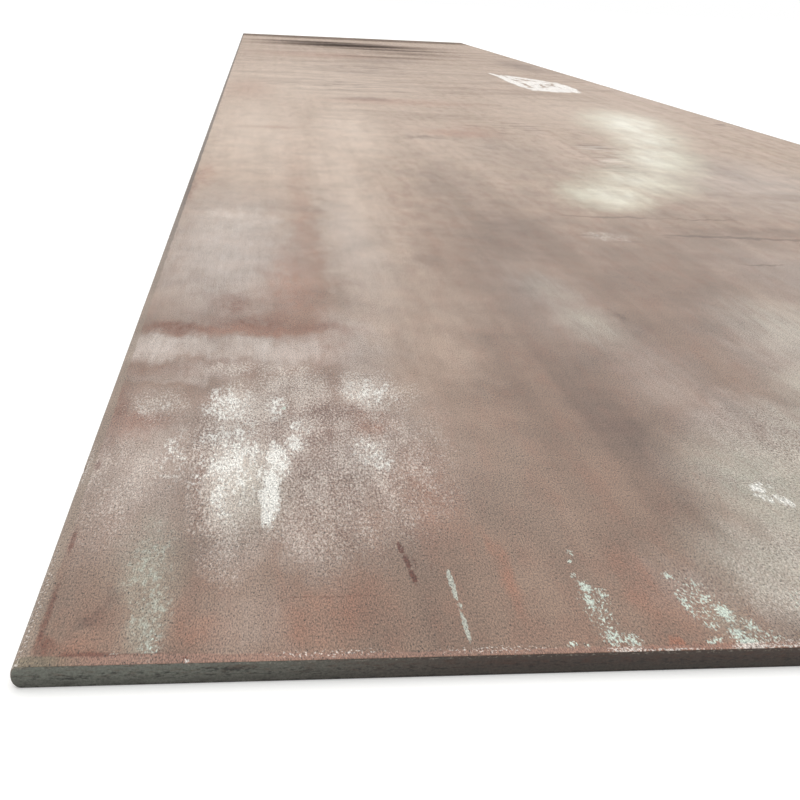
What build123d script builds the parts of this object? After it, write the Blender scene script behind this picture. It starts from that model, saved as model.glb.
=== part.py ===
from build123d import *
import os

# Hot-rolled steel plate, lying flat. Millimetres.
# The origin is the centre of the underside. +Z is up, +Y runs along the rolling direction.
# The long edges are as rolled: bellied, with round shoulders. The two ends are cropped by a shear.

# Overall size of the plate as it is sold
plate_length = 12192.0
plate_width = 2438.0
plate_thickness = 22.0

# Long edges, seen in the cross-section
rolled_rim_width = 15.0  # band inside the edge where the top falls away
rolled_rim_drop = 0.9  # how far the top falls across that band
rolled_belly = 1.2  # how far the middle of the edge stands out past its shoulders
rolled_top_radius = 8.5
rolled_bottom_radius = 7.5

# Ends, seen in the lengthwise section
sheared_rim_width = 13.0  # band that the blade drew down before it cut
sheared_rim_drop = 1.0
sheared_lip_radius = 1.2  # round at the top of the cut
burnished_height = 10.0  # smooth part of the cut, below the lip
fracture_lean = 0.7  # how far the broken part of the cut leans in at the underside
sheared_bottom_radius = 0.6

# Corners of the plate, seen from above
corner_radius = 2.5
corner_clearance = 0.4  # keeps the corner rounding tool off the bellied edge


def mirrored_outline(half_edges):
    """Close a half outline, which runs from the underside to the top, by its mirror image."""
    other_half = [edge.mirror(Plane.YZ) for edge in half_edges]
    foot = half_edges[0] @ 0
    crown = half_edges[-1] @ 1
    underside = Line((-foot.X, foot.Y), foot)
    top = Line(crown, (-crown.X, crown.Y))
    return make_face([*half_edges, *other_half, underside, top])


def round_pair(outline, corner, radius):
    """Round a corner of a flat outline, and the same corner on its other side."""
    for across in (corner[0], -corner[0]):
        nearest = outline.vertices().sort_by_distance(Vector(across, corner[1]))[0]
        outline = fillet(nearest, radius)
    return outline


def rolled_section():
    """Cross-section of the plate: flat faces between two rolled edges."""
    half_width = plate_width / 2
    shoulder = half_width - rolled_belly
    foot = (shoulder, 0)
    belly = (half_width, plate_thickness / 2)
    head = (shoulder, plate_thickness - rolled_rim_drop)
    crease = (half_width - rolled_rim_width, plate_thickness)
    outline = mirrored_outline([ThreePointArc(foot, belly, head), Line(head, crease)])
    outline = round_pair(outline, foot, rolled_bottom_radius)
    return round_pair(outline, head, rolled_top_radius)


def sheared_section():
    """Lengthwise section of the plate: flat faces between two sheared ends."""
    half_length = plate_length / 2
    lip_height = plate_thickness - sheared_rim_drop
    foot = (half_length - fracture_lean, 0)
    break_line = (half_length, lip_height - burnished_height)
    lip = (half_length, lip_height)
    crease = (half_length - sheared_rim_width, plate_thickness)
    outline = mirrored_outline([Line(foot, break_line), Line(break_line, lip), Line(lip, crease)])
    outline = round_pair(outline, foot, sheared_bottom_radius)
    return round_pair(outline, lip, sheared_lip_radius)


def plan_tool():
    """Block with round corners that trims the plate's four corners in plan."""
    width = plate_width + 2 * corner_clearance
    outline = RectangleRounded(width, plate_length, corner_radius)
    return extrude(outline, amount=plate_thickness)


def steel_plate():
    """The whole plate as one solid."""
    across = Plane.XZ * rolled_section()
    along = Plane.YZ * sheared_section()
    rolled_bar = extrude(across, amount=plate_length / 2, both=True)
    sheared_bar = extrude(along, amount=plate_width / 2, both=True)
    return rolled_bar & sheared_bar & plan_tool()


os.makedirs("parts", exist_ok=True)
export_step(steel_plate(), "parts/steel_plate.step")
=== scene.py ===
"""A hot-rolled steel plate, 22 mm thick, lying flat: rusty mill scale, rolled long edges, sheared ends.

Lengths are millimetres in the classes below and metres in Blender. Places on the plate are measured
across and along from its near left corner, where "along" is the rolling direction.
"""

from __future__ import annotations

import logging
import math
from collections.abc import Callable
from dataclasses import dataclass, replace
from enum import Enum

import bpy
import numpy as np
from mathutils import Matrix, Vector


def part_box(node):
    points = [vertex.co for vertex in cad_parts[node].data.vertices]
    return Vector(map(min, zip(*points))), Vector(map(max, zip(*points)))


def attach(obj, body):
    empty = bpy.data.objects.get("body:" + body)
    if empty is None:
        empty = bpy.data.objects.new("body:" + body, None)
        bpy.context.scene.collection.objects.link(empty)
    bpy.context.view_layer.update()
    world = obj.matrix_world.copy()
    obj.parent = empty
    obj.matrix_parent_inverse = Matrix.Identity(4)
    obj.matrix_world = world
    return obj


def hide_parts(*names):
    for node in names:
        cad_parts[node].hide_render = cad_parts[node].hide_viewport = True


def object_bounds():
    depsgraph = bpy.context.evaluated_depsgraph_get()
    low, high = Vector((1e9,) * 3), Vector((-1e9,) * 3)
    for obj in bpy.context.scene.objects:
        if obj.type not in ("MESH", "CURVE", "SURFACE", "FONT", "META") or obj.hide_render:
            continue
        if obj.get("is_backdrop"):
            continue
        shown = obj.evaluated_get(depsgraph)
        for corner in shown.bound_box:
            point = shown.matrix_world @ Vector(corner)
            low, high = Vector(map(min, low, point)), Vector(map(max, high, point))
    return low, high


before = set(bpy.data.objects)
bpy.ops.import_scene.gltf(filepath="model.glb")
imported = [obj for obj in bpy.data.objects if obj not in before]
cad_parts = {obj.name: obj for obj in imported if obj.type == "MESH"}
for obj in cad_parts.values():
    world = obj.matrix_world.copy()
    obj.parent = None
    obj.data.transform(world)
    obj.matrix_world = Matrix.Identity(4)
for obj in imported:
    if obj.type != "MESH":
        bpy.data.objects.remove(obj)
CAD_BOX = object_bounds()

NODE = "steel_plate"
MM = 0.001
COAT_SHIFT = 5.3  # how far each coat's noise is moved from the one before, in clumps
PHOTO_SIDE = 800

Pair = tuple[float, float]
Box = tuple[Vector, Vector]  # lowest and highest corner, in metres
Socket = bpy.types.NodeSocket

log = logging.getLogger("steel plate")


def linear(hex_colour: str) -> tuple[float, float, float, float]:
    """Turn an sRGB hex colour into the linear colour that a shader socket takes.

    Args:
        hex_colour: six hex digits after a hash, such as "#9c8a7e".

    Returns:
        Red, green, blue and an alpha of one.
    """
    parts = [int(hex_colour[i : i + 2], 16) / 255 for i in (1, 3, 5)]
    light = [c / 12.92 if c <= 0.04045 else ((c + 0.055) / 1.055) ** 2.4 for c in parts]
    return (*light, 1.0)


def placed(name: str, data: bpy.types.ID) -> bpy.types.Object:
    """Put a mesh, a lamp or a camera in the scene.

    Args:
        name: the object's name.
        data: what the object shows.

    Returns:
        The object.
    """
    made = bpy.data.objects.new(name, data)
    bpy.context.scene.collection.objects.link(made)
    return made


def aimed(heading: float, height: float) -> Vector:
    """The way to a heading right of the rolling direction and a height, both in degrees."""
    turn, tilt = math.radians(heading), math.radians(height)
    return Vector((math.sin(turn) * math.cos(tilt), math.cos(turn) * math.cos(tilt), math.sin(tilt)))


class Streak(Enum):
    """The streaks that break up a stain, by their size across and along in millimetres."""

    NONE = (1.0, 1.0)
    FINE = (9.0, 110.0)
    LONG = (34.0, 1200.0)
    CROSS = (190.0, 30.0)
    CLOUD = (16.0, 44.0)
    PATCHY = (34.0, 95.0)
    BROAD = (1500.0, 330.0)


@dataclass(frozen=True)
class Patch:
    """One soft oval on a surface."""

    across: float
    along: float
    half_across: float
    half_along: float
    strength: float = 1.0
    fade: float = 1.0  # share of its radius over which it fades out
    turn: float = 0.0  # degrees, seen from above


def spots(*rows: tuple[float, ...]) -> tuple[Patch, ...]:
    """Patches whose numbers stand in the order of a patch's fields."""
    return tuple(Patch(*row) for row in rows)


@dataclass(frozen=True)
class Coat:
    """A stain, flaking or film that lies on the scale in patches."""

    name: str
    colour: str
    roughness: float
    clump: Pair  # size across and along of the clumps that break its edge
    bite: float  # how much the clumps take from the patch or add to it
    blur: float  # 0 for a film that thins out, else how soft the edges of its flakes are
    patches: tuple[Patch, ...]
    relief: float = 0.0  # height over the scale, and under it where negative
    opacity: float = 1.0
    detail: float = 3.0  # how many finer sizes of clump there are
    warp: float = 1.0  # how much its patches are bent out of shape
    streak: Streak = Streak.NONE
    streaking: float = 0.3  # how much the streaks add or take
    grit: float = 0.62


class Sheet:
    """A node tree, which is filled one node at a time. Places in it are millimetres."""

    def __init__(self, owner: bpy.types.Material | bpy.types.World) -> None:
        """Start an empty tree.

        Args:
            owner: the new material or world that the tree belongs to.
        """
        self.owner = owner
        self.owner.use_nodes = True
        self.tree = owner.node_tree
        self.tree.nodes.clear()

    def add(self, kind: str, sockets: dict | None = None, out: int | str = 0, **settings) -> Socket:
        """Add a node with its settings and links.

        Args:
            kind: the node's type name, without its ShaderNode start.
            sockets: what goes in each input: a number, a tuple, or another node's output.
            out: the output to hand back.
            **settings: the node's own properties.

        Returns:
            The chosen output socket, or the node itself where the tree ends with it.
        """
        node = self.tree.nodes.new("ShaderNode" + kind)
        for key, value in settings.items():
            setattr(node, key, value)
        for key, value in (sockets or {}).items():
            if isinstance(value, Socket):
                self.tree.links.new(value, node.inputs[key])
            else:
                node.inputs[key].default_value = value
        return node.outputs[out] if node.outputs else node

    def place(self, box: Box) -> Socket:
        """The place, measured from the lowest corner of a box that is given in metres."""
        moved = {0: self.add("TexCoord", out="Object"), 1: (1 / MM,) * 3, 2: tuple(-c / MM for c in box[0])}
        return self.add("VectorMath", moved, operation="MULTIPLY_ADD")

    def eased(
        self, value: Socket, low: float, high: float, to_low: float = 0.0, to_high: float = 1.0,
        shape: str = "SMOOTHSTEP",
    ) -> Socket:
        """Turn a value into a step from one number to another.

        Args:
            value: the socket.
            low: where the step starts.
            high: where it ends, which may be lower.
            to_low: the number before the step.
            to_high: the number after it.
            shape: how the step runs from one to the other.

        Returns:
            The step's socket.
        """
        sockets = {"Value": value, "From Min": low, "From Max": high, "To Min": to_low, "To Max": to_high}
        # Left unclamped, because a smooth step holds its ends and each clamp costs a Cycles stack slot.
        return self.add("MapRange", sockets, interpolation_type=shape, clamp=False)

    def spread(
        self, value: Socket, to_low: float, to_high: float, low: float = 0.0, high: float = 1.0
    ) -> Socket:
        """Stretch a value evenly from one range to another."""
        return self.eased(value, low, high, to_low, to_high, "LINEAR")

    def blended(self, share: Socket, under: Socket | str, over: Socket | str) -> Socket:
        """Mix a share of one colour over another, each a hex colour or a socket."""
        first, second = (linear(c) if isinstance(c, str) else c for c in (under, over))
        return self.add("Mix", {0: share, 6: first, 7: second}, 2, data_type="RGBA")

    def cover(self, place: Socket, patches: tuple[Patch, ...]) -> Socket:
        """Join oval patches into one mask.

        Args:
            place: the flat place.
            patches: the ovals.

        Returns:
            A socket that is 0 outside the ovals and rises to each one's strength.
        """
        total = None
        for patch in patches:
            ball = self.add("TexGradient", {"Vector": place}, "Fac", gradient_type="SPHERICAL")
            mapping = ball.node.texture_mapping
            mapping.vector_type = "TEXTURE"
            mapping.translation = (patch.across, patch.along, 0)
            mapping.rotation = (0, 0, math.radians(patch.turn))
            mapping.scale = (patch.half_across, patch.half_along, 1)
            soft = self.eased(ball, 0.0, patch.fade, 0.0, patch.strength)
            total = soft if total is None else self.add("Math", {0: total, 1: soft}, operation="MAXIMUM")
        return total

    def clumps(
        self, place: Socket, size: Pair, detail: float, shift: float, grit: float = 0.62, out: str = "Fac"
    ) -> Socket:
        """Flat noise of a given size.

        Args:
            place: the flat place.
            size: the size of one clump, across and along.
            detail: how many finer sizes are laid over it.
            shift: moves the pattern, so that no two are alike.
            grit: how strong each finer size is next to the one before.
            out: "Fac" for one value from 0 to 1, or "Color" for three.

        Returns:
            The noise's socket.
        """
        sockets = {"Vector": place, "Scale": 1.0, "Detail": detail, "Roughness": grit}
        noise = self.add("TexNoise", sockets, out, noise_dimensions="2D")
        noise.node.texture_mapping.scale = (1 / size[0], 1 / size[1], 1.0)
        noise.node.texture_mapping.translation = (shift, shift * 0.7, 0)
        return noise

    def sway(self, place: Socket, size: Pair, reach: Pair) -> Socket:
        """Noise that bends the flat place, so that no patch keeps a drawn outline.

        Args:
            place: the flat place.
            size: the size of one bend.
            reach: how far it bends.

        Returns:
            How far each place is bent.
        """
        noise = self.clumps(place, size, detail=3.0, shift=0.0, out="Color")
        centred = self.add("VectorMath", {0: noise, 1: (0.5, 0.5, 0.5)}, operation="SUBTRACT")
        return self.add("VectorMath", {0: centred, 1: (*reach, 0.0)}, operation="MULTIPLY")

    def lay(
        self, coats: tuple[Coat, ...], place: Socket, sway: Socket, fields: dict, under: dict, shift: float
    ) -> dict[str, Socket]:
        """Lay coats over what is there, one over another.

        Args:
            coats: the coats, the lowest first.
            place: the flat place on the surface.
            sway: how far each place is bent.
            fields: the noise of each kind of streak.
            under: the colour, roughness and height sockets so far.
            shift: moves the clumps of the first coat, and those of each next one further.

        Returns:
            The new colour, roughness and height sockets, and the last coat's own mask.
        """
        for number, coat in enumerate(coats):
            moved = shift + COAT_SHIFT * number
            flat = self.add("VectorMath", {0: sway, 1: (coat.warp,) * 3, 2: place}, operation="MULTIPLY_ADD")
            cover = self.cover(flat, coat.patches)
            clumps = self.clumps(place, coat.clump, coat.detail, moved, coat.grit)
            rough = self.add("Math", {0: clumps, 1: coat.bite}, operation="MULTIPLY")
            middle = coat.bite / 2
            if coat.streak is not Streak.NONE:
                streaks = {0: fields[coat.streak], 1: coat.streaking, 2: rough}
                rough = self.add("Math", streaks, operation="MULTIPLY_ADD")
                middle += coat.streaking / 2
            if coat.blur:
                # Half covered where the cover is a half, and bare where there is no patch at all.
                bitten = self.add("Math", {0: rough, 1: cover}, operation="ADD")
                share = self.eased(bitten, 0.5 + middle - coat.blur / 2, 0.5 + middle + coat.blur / 2)
                cover = self.eased(cover, 0.0, 0.2, 0.0, coat.opacity)
            else:
                share = self.add("Math", {0: rough, 1: 1 - middle}, operation="ADD")
            mask = self.add("Math", {0: share, 1: cover}, operation="MULTIPLY", label=coat.name)
            height = under["height"]
            if coat.relief:
                height = self.add("Math", {0: mask, 1: coat.relief, 2: height}, operation="MULTIPLY_ADD")
            under = {
                "colour": self.blended(mask, under["colour"], coat.colour),
                "roughness": self.add("Mix", {0: mask, 2: under["roughness"], 3: coat.roughness}),
                "height": height,
                "mask": mask,
            }
        return under

    def surfaced(self, state: dict, speck: Socket, gloss: dict | None = None) -> bpy.types.Material:
        """Close the tree with a surface.

        Args:
            state: its colour, roughness and height sockets, the height in millimetres.
            speck: what its colour is scaled by.
            gloss: what goes in its other inputs.

        Returns:
            The material.
        """
        colour = self.add("VectorMath", {0: state["colour"], "Scale": speck}, operation="SCALE")
        bump = self.add("Bump", {"Height": state["height"], "Strength": 1.0, "Distance": MM})
        sockets = {"Base Color": colour, "Roughness": state["roughness"], "Normal": bump, **(gloss or {})}
        self.add("OutputMaterial", {"Surface": self.add("BsdfPrincipled", sockets)})
        return self.owner


@dataclass(frozen=True)
class MillScale:
    """Hot-rolled mill scale that has weathered outdoors.

    The scale is an oxide skin, brown-grey and matte. Red rust blooms through it, and where it has
    flaked the pale steel shows. Its grains are drawn at about their real size.
    """

    name: str = "weathered_mill_scale_on_hot_rolled_steel"
    near_tones: tuple[str, str] = ("#7c6454", "#886f5e")
    far_tones: tuple[str, str] = ("#ab9581", "#b69f8d")
    bleached_and_sheen: Pair = (500.0, 3400.0)  # along, where the near tones give way to the paler far ones, partly weathered scale and partly painted sheen
    blush: str = "#85614f"  # thin rust that shows through everywhere
    roughness: float = 0.55
    grain: Pair = (1.3, 3.3)  # size of the scale's grains, drawn out by the rolls
    grain_height: float = 0.12
    grain_contrast: float = 0.6
    pit: Pair = (1.9, 4.8)
    pitted: Pair = (0.27, 0.38)  # the noise below which a pit is full, and above which none is
    pit_shade: float = 0.52
    width: float = 2438.0
    lane: Pair = (60.0, 2200.0)  # streaks that the rolls draw out
    cloud: Pair = (30.0, 100.0)  # where the thin rust shows
    mottle: Pair = (120.0, 150.0)
    mottling: Pair = (0.2, 0.09)  # how strong the mottle is near by and far down
    fading: Pair = (1500.0, 4500.0)  # along, where the mottle weakens
    gloss: Pair = (0.5, 0.05)  # specular level of the scale, and of the powder on it
    rim_inset: Pair = (14.8, 12.0)  # from the long edges, where their bands start and are full
    rim_share: float = 0.8
    rim_fading: Pair = (700.0, 2600.0)  # along, where the long edges darken
    near_rim_across: Pair = (60.0, 330.0)  # where the near band narrows
    near_rim_widths: Pair = (13.0, 7.5)
    near_rim_soft: float = 1.6  # half of the blur of its edge
    corner_across: Pair = (24.0, 70.0)  # where the corner's tone gives way
    waver: float = 3.0  # how far the bands' edges stray
    waver_size: Pair = (40.0, 40.0)
    edge_rim_tones: tuple[str, str] = ("#8e7d6e", "#4c4139")  # on the long edges, near by and far down
    near_rim_tones: tuple[str, str] = ("#746955", "#926f5f")  # at the near end, in the corner and past it
    warp_size: Pair = (45.0, 110.0)
    warp_reach: Pair = (46.0, 120.0)

    coats: tuple[Coat, ...] = (
        # Paler lanes, partly paler scale and partly painted sheen where the far part of the top catches the
        # light at a low angle.
        Coat("pale lane and painted sheen", "#cdb8a6", 0.5, (60, 300), 1.0, 0.0, spots(
            (180, 3600, 360, 2600, 0.8), (430, 2400, 170, 2500, 0.7), (520, 1100, 140, 500, 0.3),
            (540, 3700, 260, 1900, 0.9, 1.0, -3), (410, 1000, 100, 750, 0.35), (385, 1600, 120, 560, 0.3),
            (480, 880, 110, 420, 0.3), (470, 450, 120, 560, 0.12), (900, 3400, 600, 1500, 0.25),
            (500, 6000, 1000, 3000, 0.7), (1700, 4700, 700, 1400, 0.35), (1500, 7000, 800, 1500, 0.3),
        ), streak=Streak.LONG, streaking=0.6, warp=2.5),
        Coat("grey film", "#bcafa6", 0.5, (30, 110), 1.1, 0.0, spots(
            (130, 1500, 240, 850, 0.8), (120, 1900, 240, 600, 0.4), (70, 850, 150, 110, 0.95),
            (230, 830, 240, 130, 0.8), (110, 730, 140, 80, 0.55), (345, 880, 90, 320, 0.55),
            (395, 1600, 110, 1000, 0.4), (250, 470, 250, 420, 0.62), (185, 380, 90, 300, 0.75),
            (60, 420, 150, 360, 0.52), (190, 70, 80, 110, 0.2), (612, 115, 70, 90, 0.28),
            (220, 230, 150, 150, 0.42), (730, 1150, 150, 520, 0.28), (800, 700, 120, 420, 0.3),
            (860, 480, 170, 280, 0.62), (790, 330, 150, 280, 0.42), (760, 130, 150, 210, 0.62),
            (1130, 800, 260, 560, 0.6), (1350, 1350, 300, 560, 0.35), (1750, 2600, 520, 1000, 0.45),
        ), streak=Streak.FINE, streaking=0.8, warp=1.4, detail=4.0),
        Coat("dark lane", "#5f4d43", 0.6, (40, 160), 1.0, 0.0, spots(
            (790, 1750, 200, 620, 0.42), (850, 600, 36, 170, 0.36), (1000, 1250, 260, 600, 0.22),
            (820, 1680, 100, 340, 0.3), (665, 540, 75, 340, 0.55), (58, 72, 15, 44, 0.7, 1.0, -38),
            (835, 1060, 30, 50, 0.5), (700, 1150, 240, 950, 0.2), (1150, 1500, 260, 500, 0.2),
            (760, 2500, 170, 900, 0.3), (1080, 3200, 260, 900, 0.3), (1400, 1840, 500, 110, 0.35),
            (1150, 8200, 520, 420, 0.35), (880, 6830, 320, 180, 0.32), (735, 5000, 220, 190, 0.55),
            (840, 3520, 220, 90, 0.45), (900, 10700, 900, 500, 0.7), (1760, 3000, 130, 600, 0.3),
            (2250, 8300, 230, 1100, 0.5),
        ), streak=Streak.CROSS, streaking=0.9, warp=1.6),
        # Broad bands across the plate, partly stains and partly painted reflections of what stands around it.
        Coat("transverse stains and painted reflection bands", "#77604f", 0.6, (700, 230), 2.4, 0.8, spots(
            (1200, 8300, 1900, 4300, 0.44, 0.5), (900, 4300, 900, 900, 0.4), (1500, 2500, 700, 700, 0.3),
        ), opacity=0.34, warp=0.5, streak=Streak.BROAD, streaking=1.0),
        Coat("rust bloom", "#9e6850", 0.6, (12, 34), 1.8, 0.0, spots(
            (272, 75, 80, 110, 0.3), (434, 140, 18, 130, 0.4), (563, 100, 26, 150, 0.32),
            (590, 60, 60, 90, 0.2), (560, 8, 90, 12, 0.8), (145, 40, 40, 60, 0.3), (50, 28, 34, 30, 0.22),
            (300, 1700, 50, 1900, 0.2), (260, 1200, 80, 520, 0.35), (345, 530, 50, 70, 0.4),
            (190, 940, 220, 60, 0.45), (1000, 3680, 260, 240, 0.4), (900, 4900, 600, 300, 0.3),
            (40, 530, 60, 70, 0.4), (35, 2500, 60, 320, 0.3), (240, 3680, 180, 80, 0.3),
            (1080, 3780, 180, 400, 0.26), (640, 8700, 800, 700, 0.25), (130, 5400, 220, 900, 0.26),
            (390, 320, 60, 200, 0.3),
        ), streak=Streak.FINE, streaking=0.8),
        Coat("dark rust", "#70432f", 0.6, (9, 18), 1.2, 0.0, spots(
            (70, 955, 120, 60, 0.7), (185, 985, 140, 90, 0.62), (155, 1090, 60, 130, 0.5),
            (285, 965, 100, 46, 0.5), (60, 745, 110, 50, 0.3), (145, 755, 90, 70, 0.24),
            (20, 600, 30, 110, 0.6), (60, 540, 60, 50, 0.45), (12, 2200, 24, 300, 0.5),
            (270, 575, 60, 50, 0.5), (268, 490, 55, 90, 0.45), (310, 560, 50, 70, 0.45),
            (24, 27, 15, 26, 0.7), (52, 18, 50, 13, 0.4), (14, 470, 24, 70, 0.4), (66, 78, 28, 44, 0.45),
            (132, 400, 8, 260, 0.42, 0.8), (875, 500, 60, 90, 0.3),
        ), streak=Streak.CLOUD, streaking=1.6, warp=0.6, grit=0.7),
        # Painted shade where the surface ripples, drawn as dark patches and lines across the plate; the coat
        # has no relief of its own.
        Coat("painted shade of the ripples", "#5a463c", 0.6, (170, 46), 2.0, 0.5, spots(
            (1450, 3420, 150, 200, 0.55), (1390, 2830, 150, 260, 0.55), (1450, 3100, 260, 700, 0.3),
            (1010, 1720, 130, 70, 0.5), (1180, 1760, 120, 70, 0.5), (700, 5800, 900, 800, 0.36),
            (900, 7300, 900, 1100, 0.4), (1250, 3900, 500, 500, 0.36), (2345, 4351, 60, 160, 0.8),
            (1893, 3733, 40, 30, 0.9, 0.6), (1095, 1984, 180, 13, 1.0, 0.5),
            (1330, 1972, 200, 11, 0.62, 0.6), (1370, 1752, 330, 18, 1.0, 0.6, -5),
            (1290, 1470, 100, 9, 0.8, 0.6),
        ), opacity=0.5, warp=0.5),
        Coat("rust spots", "#5a2f22", 0.65, (3.0, 7.0), 1.5, 0.4, spots(
            (342, 193, 5, 24, 0.85, 0.8, 4), (345, 163, 5, 26, 0.9, 0.8, 3),
            (347, 135, 4.5, 28, 0.9, 0.8, 2), (352, 165, 13, 44, 0.38), (366, 150, 8, 22, 0.4),
            (355, 95, 9, 40, 0.24),
        ), opacity=0.9, warp=0.12, detail=3.0),
        Coat("flaked scale", "#d2c6bb", 0.5, (2.8, 7.0), 2.6, 1.1, spots(
            (265, 450, 240, 400, 0.46), (165, 400, 62, 330, 0.66, 0.8), (205, 420, 80, 280, 0.62),
            (330, 430, 80, 150, 0.55), (190, 600, 90, 150, 0.75), (250, 670, 110, 130, 0.66),
            (350, 650, 90, 130, 0.8), (45, 350, 90, 250, 0.22), (190, 745, 120, 50, 0.36),
            (70, 590, 80, 120, 0.26), (140, 1850, 160, 260, 0.4), (790, 110, 200, 210, 0.42),
            (870, 320, 190, 300, 0.36), (1020, 1735, 90, 70, 0.4),
        ), opacity=0.85, streak=Streak.PATCHY, streaking=1.3, warp=0.6, detail=3.0),
        Coat("film drawn out by the rolls", "#bdb7a8", 0.5, (26, 170), 1.2, 0.0, spots(
            (1150, 900, 200, 440, 0.5), (1060, 600, 160, 300, 0.8), (925, 430, 150, 290, 0.56),
            (810, 150, 190, 230, 0.46), (768, 1000, 80, 190, 0.42), (750, 1230, 70, 200, 0.26),
        ), streak=Streak.FINE, streaking=0.9, warp=0.8, grit=0.7),
        Coat("pits in the flaked scale", "#644639", 0.6, (2.2, 5.6), 2.6, 0.5, spots(
            (265, 430, 230, 430, 0.44), (290, 560, 90, 110, 0.55), (140, 480, 40, 280, 0.5),
            (350, 640, 90, 120, 0.34), (620, 110, 60, 90, 0.3), (870, 420, 150, 320, 0.36),
            (770, 130, 120, 150, 0.3),
        ), opacity=0.75, streak=Streak.CLOUD, streaking=0.9, warp=0.6, detail=2.0),
        Coat("veil of bare steel", "#a9a999", 0.5, (7, 18), 1.6, 0.0, spots(
            (102, 60, 32, 110, 0.4), (96, 160, 52, 180, 0.42), (190, 330, 60, 170, 0.3),
            (790, 340, 140, 240, 0.5), (700, 150, 120, 160, 0.3), (626, 40, 40, 60, 0.2),
        ), streak=Streak.CLOUD, streaking=1.0, warp=0.3),
        Coat("bright flaking", "#efede6", 0.5, (3.4, 10.0), 1.9, 0.8, spots(
            (212, 325, 15, 120, 1.0, 0.8), (219, 410, 22, 80, 0.85, 0.9), (244, 468, 22, 60, 0.75),
            (170, 410, 70, 230, 0.52), (250, 520, 26, 60, 0.45), (222, 590, 24, 70, 0.45),
            (160, 590, 50, 120, 0.56), (70, 590, 60, 90, 0.14), (98, 430, 40, 130, 0.26),
            (777, 328, 15, 22, 0.8, 0.9), (795, 296, 14, 20, 0.72, 0.9), (790, 338, 14, 18, 0.5),
            (774, 296, 14, 20, 0.4), (350, 650, 60, 90, 0.5), (335, 430, 40, 90, 0.45),
        ), opacity=0.88, warp=0.3, streak=Streak.CLOUD, streaking=1.6),
        Coat("thin scale at the left", "#b7bdb0", 0.5, (4.4, 9), 2.6, 0.7, spots(
            (110, 28, 17, 44, 0.5), (104, 84, 30, 80, 0.42), (97, 170, 36, 130, 0.4),
        ), opacity=0.5, streak=Streak.CLOUD, streaking=1.0, warp=0.2, detail=4.0),
        Coat("bare steel", "#c2cbbf", 0.5, (2.5, 5.6), 2.4, 0.4, spots(
            (110, 26, 15, 40, 0.34), (80, 14, 10, 6, 0.5), (720, 70, 40, 70, 0.26), (232, 588, 5, 12, 0.9),
            (513, 178, 6, 10, 0.6), (507, 158, 5, 8, 0.6), (503, 131, 6, 8, 0.66), (509, 108, 11, 20, 0.85),
            (506, 84, 9, 26, 0.85), (521, 95, 10, 24, 0.55), (510, 70, 22, 84, 0.34), (509, 52, 7, 14, 0.6),
            (510, 22, 17, 28, 0.66), (526, 16, 14, 22, 0.66), (472, 11, 8, 7, 0.75), (483, 8, 6, 7, 0.6),
            (598, 128, 9, 16, 0.62), (597, 75, 9, 44, 0.6), (619, 108, 7, 24, 0.55), (618, 84, 14, 20, 0.6),
            (628, 56, 13, 28, 0.95), (626, 22, 15, 20, 0.8), (630, 8, 20, 14, 1.0), (644, 34, 14, 22, 0.6),
            (600, 13, 14, 10, 0.62), (606, 36, 12, 14, 0.56), (614, 76, 36, 84, 0.3),
            (650, 16, 30, 24, 0.4),
        ), warp=0.06, detail=3.0),
        Coat("scraped line", "#b4b8ac", 0.5, (2.6, 8.0), 2.4, 0.5, spots(
            (382, 118, 3.6, 40, 0.85, 0.5), (382, 44, 3.4, 34, 0.8, 0.5), (383, 78, 3.0, 14, 0.5, 0.5),
        ), relief=-0.12, opacity=0.8, warp=0.04),
        # Painted highlights on the crests of the ripples, paler patches beside the painted shade, with no
        # relief of their own.
        Coat("painted highlights on the ripple crests", "#e2d6c8", 0.45, (150, 40), 2.0, 0.5, spots(
            (1450, 3370, 130, 190, 0.55), (1395, 3020, 120, 170, 0.5),
        ), opacity=0.45, warp=0.4),
        # A smoother film that reflects the tall card; its pale colour is partly a painted reflection of that
        # card's glare.
        Coat("smooth film with painted glare", "#c0b89c", 0.32, (60, 260), 1.2, 0.0, spots(
            (1190, 2330, 190, 380, 0.85, 0.8, -12), (1380, 2600, 260, 480, 0.75, 0.9, -17),
            (1620, 3100, 220, 700, 0.8, 0.8, -17), (1780, 3700, 240, 800, 0.8, 0.9, -17),
            (1850, 4250, 300, 900, 0.9, 0.9, -10),
        ), warp=1.6, streak=Streak.CROSS, streaking=0.4),
    )
    powder: Coat = Coat("powdery rust at the far end", "#352a25", 1.0, (420, 90), 1.0, 0.0, spots(
        (1050, 10400, 1250, 520, 0.95, 0.9, 3), (760, 10860, 1000, 300, 0.8, 0.9, -2),
        (1330, 9900, 950, 260, 0.72, 0.9, 2), (1500, 9350, 700, 420, 0.45, 1.0, -2),
        (1250, 8700, 800, 240, 0.4), (1200, 12100, 2800, 700, 0.6, 0.5),
    ), warp=2.0, streak=Streak.CROSS, streaking=0.4)
    seams: Coat = Coat("rust in the crease", "#613529", 0.65, (5, 9), 1.4, 1.1, spots(
        (62, 14.6, 38, 6.0, 0.95, 0.9), (64, 13.4, 46, 2.6, 1.0, 0.7), (140, 5.5, 3.5, 2.6, 1.0, 0.7),
        (110, 13.5, 40, 3.6, 0.5), (17.5, 76, 4.6, 92, 0.9, 0.9), (24, 30, 14, 26, 0.5),
        (17.0, 215, 4.0, 40, 0.8, 0.7), (17.0, 400, 5.0, 26, 0.7, 0.7), (265, 100, 70, 2.2, 0.42, 0.6),
    ), opacity=0.7, warp=0.06)
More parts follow.
